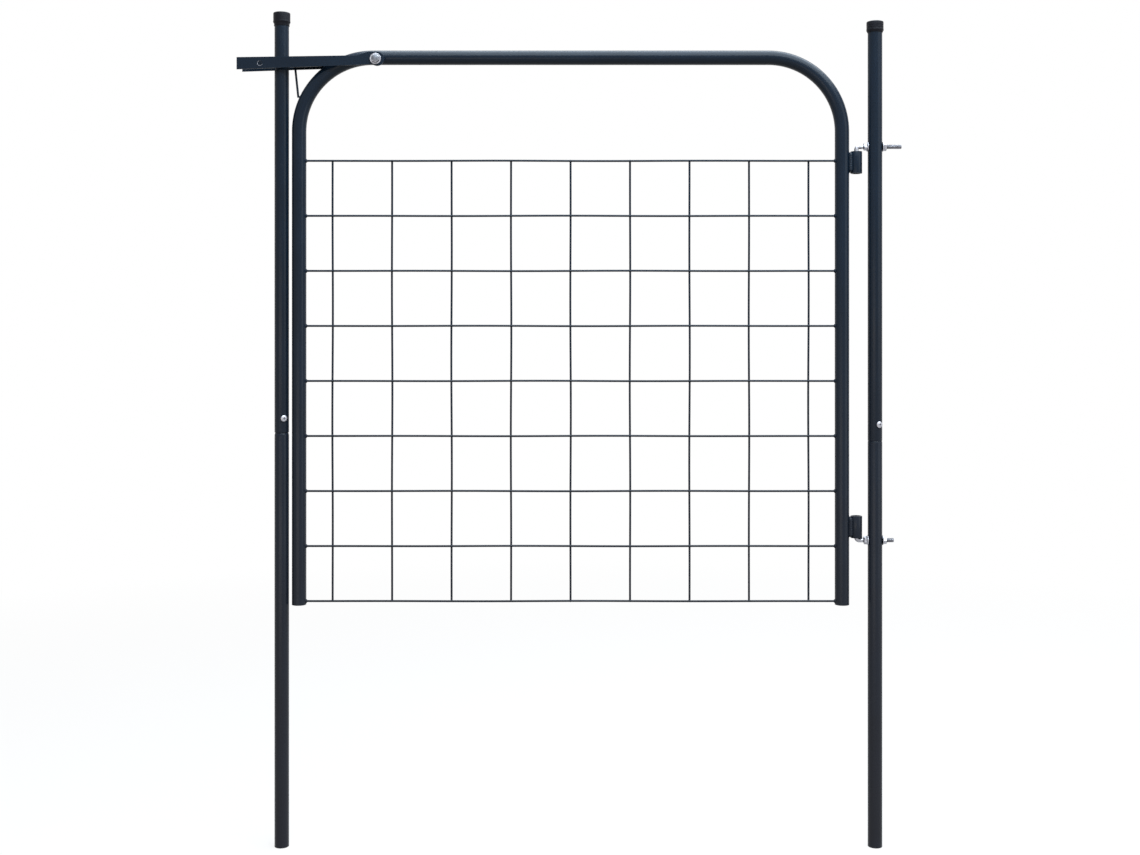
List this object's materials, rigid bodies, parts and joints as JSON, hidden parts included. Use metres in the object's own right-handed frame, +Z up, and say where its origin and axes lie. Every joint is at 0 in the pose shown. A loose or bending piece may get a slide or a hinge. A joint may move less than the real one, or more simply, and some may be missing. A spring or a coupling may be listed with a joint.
{
  "type": "garden gate",
  "caption": "Welded-mesh garden gate: a bent-tube leaf hung between capped tube posts on bent threaded pins, held shut by a lift-up fork latch.",
  "frame": {"origin": "centre of the hinge post's foot", "axes": "+Z up, +X to the right as the front is seen, the front faces -Y"},
  "size_m": [1.2035, 0.052, 1.5145],
  "materials": {
    "frame_paint": "satin anthracite powder coat",
    "zinc": "bright zinc plate",
    "cap_plastic": "moulded, matt",
    "bush_plastic": "moulded, smooth"
  },
  "bodies": {
    "posts": {"hinge_post_lower": "frame_paint", "hinge_post_upper": "frame_paint", "hinge_post_cap": "cap_plastic", "hinge_post_screw": "zinc", "latch_post_lower": "frame_paint", "latch_post_upper": "frame_paint", "latch_post_cap": "cap_plastic", "latch_post_screw": "zinc", "upper_hinge_pin": "zinc", "lower_hinge_pin": "zinc", "upper_hinge_inner_nut": "zinc", "upper_hinge_outer_nut": "zinc", "lower_hinge_inner_nut": "zinc", "lower_hinge_outer_nut": "zinc"},
    "leaf": {"leaf_frame": "frame_paint", "mesh_panel": "frame_paint", "upper_hinge_barrel": "frame_paint", "lower_hinge_barrel": "frame_paint", "upper_hinge_bush": "bush_plastic", "lower_hinge_bush": "bush_plastic", "latch_rest_rod": "frame_paint", "latch_bolt": "zinc", "latch_nut": "zinc", "latch_washer": "zinc", "latch_spacer": "zinc"},
    "latch": {"latch_front_bar": "frame_paint", "latch_back_bar": "frame_paint", "latch_bridge": "frame_paint"}
  },
  "joints": [
    {"name": "leaf_swing", "type": "hinge", "parent": "posts", "child": "leaf", "pos_m": [-0.034, 0, 0.58], "axis": [0, 0, 1], "range_deg": [-105, 105]},
    {"name": "latch_lift", "type": "hinge", "parent": "leaf", "child": "latch", "pos_m": [-0.9052, 0, 1.427], "axis": [0, 1, 0], "range_deg": [0, 45]}
  ]
}
